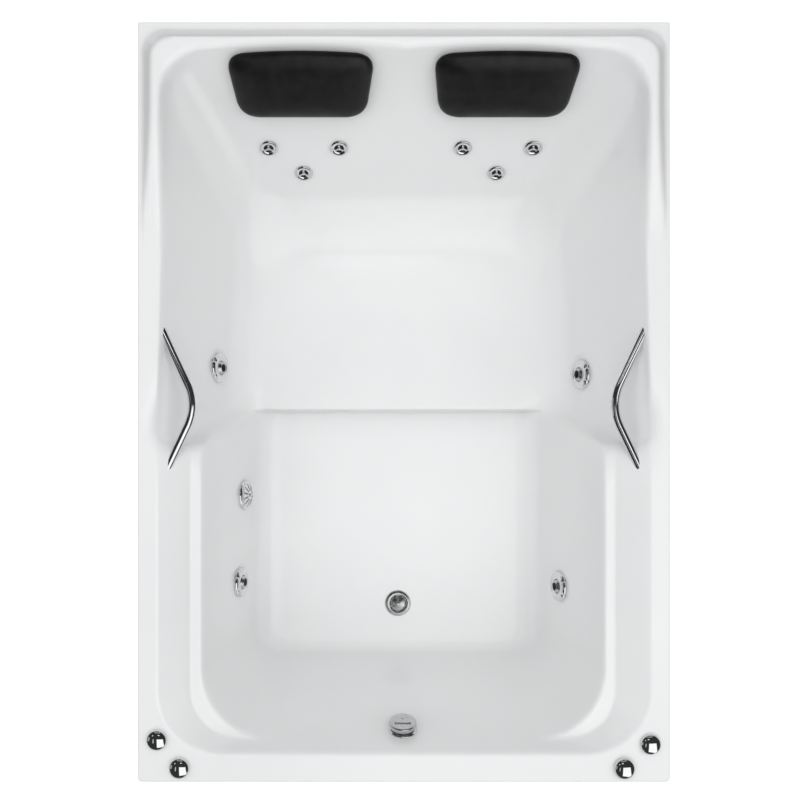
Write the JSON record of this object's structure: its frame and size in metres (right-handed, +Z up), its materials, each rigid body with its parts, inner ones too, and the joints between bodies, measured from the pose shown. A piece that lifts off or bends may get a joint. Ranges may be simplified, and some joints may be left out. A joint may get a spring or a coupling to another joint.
{
  "type": "jetted bathtub",
  "caption": "Rectangular two-person jetted bathtub with raised head end, seat, footwell, neck pillows, grab bars, jets, pump and piping.",
  "frame": {"origin": "on the floor, under the middle of the rim", "axes": "+Z up, +Y towards the head end (pillows), +X towards the right of the picture"},
  "size_m": [1.26, 1.8, 0.6097],
  "materials": {
    "acrylic": "high gloss",
    "board": "raw",
    "timber": "raw",
    "galvanised_steel": "galvanised",
    "black_rubber": "matte",
    "white_plastic": "satin",
    "chrome": "polished",
    "dark_nozzle": "satin",
    "white_pipe": "satin",
    "black_plastic": "satin",
    "seal_ring": "ground",
    "motor_paint": "satin",
    "steel": "satin",
    "pillow_vinyl": "satin grained"
  },
  "bodies": {
    "tub": {"back_jet_bodies": "white_plastic", "back_jet_faces": "chrome", "base_board": "board", "bath_shell": "acrylic", "cable_gland": "black_plastic", "deck_control_bodies": "white_plastic", "drain_flange": "chrome", "drain_shoe": "white_plastic", "fan_cover": "black_plastic", "fitting_gaskets": "black_rubber", "fitting_nuts": "white_plastic", "foot_pads": "black_rubber", "grab_bar_nuts": "steel", "grab_bars": "chrome", "head_manifold": "white_pipe", "levelling_studs": "galvanised_steel", "motor_housing": "motor_paint", "overflow_elbow": "white_plastic", "overflow_plate": "chrome", "pillow_cups": "black_rubber", "pillow_left": "pillow_vinyl", "pillow_right": "pillow_vinyl", "pump_back_plate": "black_plastic", "pump_bracket": "galvanised_steel", "pump_union": "black_plastic", "pump_volute": "black_plastic", "seat_bearers": "timber", "shaft_seal": "seal_ring", "side_air_lines": "white_pipe", "side_jet_bodies": "white_plastic", "side_water_lines": "white_pipe", "small_nuts": "white_plastic", "steel_cradle": "galvanised_steel", "stud_lock_nuts": "galvanised_steel", "suction_body": "white_plastic", "suction_cover": "chrome", "suction_line": "white_pipe", "suction_screw": "steel", "terminal_box": "black_plastic", "waste_pipe": "white_pipe"},
    "overflow_dial_body": {"overflow_dial": "chrome"},
    "drain_stopper_body": {"drain_stopper": "chrome"},
    "pump_rotor": {"impeller": "black_plastic", "pump_shaft": "steel", "cooling_fan": "black_plastic"},
    "button_body": {"pump_button": "chrome"},
    "ring_head_left": {"jet_ring_head_left": "chrome"},
    "nozzle_head_left": {"jet_nozzle_head_left": "dark_nozzle"},
    "ring_head_right": {"jet_ring_head_right": "chrome"},
    "nozzle_head_right": {"jet_nozzle_head_right": "dark_nozzle"},
    "ring_foot_left": {"jet_ring_foot_left": "chrome"},
    "nozzle_foot_left": {"jet_nozzle_foot_left": "dark_nozzle"},
    "ring_foot_right": {"jet_ring_foot_right": "chrome"},
    "nozzle_foot_right": {"jet_nozzle_foot_right": "dark_nozzle"},
    "knob_left_outer": {"air_knob_left_outer": "chrome"},
    "knob_left_inner": {"air_knob_left_inner": "chrome"},
    "knob_right_outer": {"air_knob_right_outer": "chrome"}
  },
  "joints": [
    {"name": "overflow_dial_turn", "type": "hinge", "parent": "tub", "child": "overflow_dial_body", "pos_m": [0, -0.80255, 0.473], "axis": [0, 0.9439, 0.3304], "range_deg": [0, 90]},
    {"name": "stopper_lift", "type": "slide", "parent": "tub", "child": "drain_stopper_body", "axis": [0, 0, 1], "range_m": [0, 0.01]},
    {"name": "ring_turn_head_left", "type": "hinge", "parent": "tub", "child": "ring_head_left", "pos_m": [-0.47583, 0.089, 0.295], "axis": [0.9272, 0, 0.3746], "range_deg": [0, 90]},
    {"name": "nozzle_tilt_head_left", "type": "hinge", "parent": "ring_head_left", "child": "nozzle_head_left", "pos_m": [-0.47583, 0.089, 0.295], "axis": [0, -1, 0], "range_deg": [-15, 15]},
    {"name": "ring_turn_head_right", "type": "hinge", "parent": "tub", "child": "ring_head_right", "pos_m": [0.47628, 0.072, 0.295], "axis": [-0.9272, 0, 0.3746], "range_deg": [0, 90]},
    {"name": "nozzle_tilt_head_right", "type": "hinge", "parent": "ring_head_right", "child": "nozzle_head_right", "pos_m": [0.47628, 0.072, 0.295], "axis": [0, 1, 0], "range_deg": [-15, 15]},
    {"name": "ring_turn_foot_left", "type": "hinge", "parent": "tub", "child": "ring_foot_left", "pos_m": [-0.42077, -0.473, 0.285], "axis": [0.9586, 0, 0.2847], "range_deg": [0, 90]},
    {"name": "nozzle_tilt_foot_left", "type": "hinge", "parent": "ring_foot_left", "child": "nozzle_foot_left", "pos_m": [-0.42077, -0.473, 0.285], "axis": [0, -1, 0], "range_deg": [-15, 15]},
    {"name": "ring_turn_foot_right", "type": "hinge", "parent": "tub", "child": "ring_foot_right", "pos_m": [0.42077, -0.484, 0.285], "axis": [-0.9586, 0, 0.2847], "range_deg": [0, 90]},
    {"name": "nozzle_tilt_foot_right", "type": "hinge", "parent": "ring_foot_right", "child": "nozzle_foot_right", "pos_m": [0.42077, -0.484, 0.285], "axis": [0, 1, 0], "range_deg": [-15, 15]},
    {"name": "air_knob_turn_left_outer", "type": "hinge", "parent": "tub", "child": "knob_left_outer", "pos_m": [-0.585, -0.8, 0.56], "axis": [0, 0, 1], "range_deg": [0, 120]},
    {"name": "air_knob_turn_left_inner", "type": "hinge", "parent": "tub", "child": "knob_left_inner", "pos_m": [-0.532, -0.866, 0.56], "axis": [0, 0, 1], "range_deg": [0, 120]},
    {"name": "air_knob_turn_right_outer", "type": "hinge", "parent": "tub", "child": "knob_right_outer", "pos_m": [0.583, -0.81, 0.56], "axis": [0, 0, 1], "range_deg": [0, 120]},
    {"name": "pump_button_press", "type": "slide", "parent": "tub", "child": "button_body", "axis": [0, 0, 1], "range_m": [-0.003, 0], "stiffness_N_per_m": 400, "springref_m": 0.002},
    {"name": "pump_spin", "type": "hinge", "parent": "tub", "child": "pump_rotor", "pos_m": [0, 0.745, 0.205], "axis": [1, 0, 0], "continuous": true}
  ],
  "couplings": [
    {"joint": "stopper_lift", "follows": "overflow_dial_turn", "m_per_rad": 0.0063662}
  ]
}
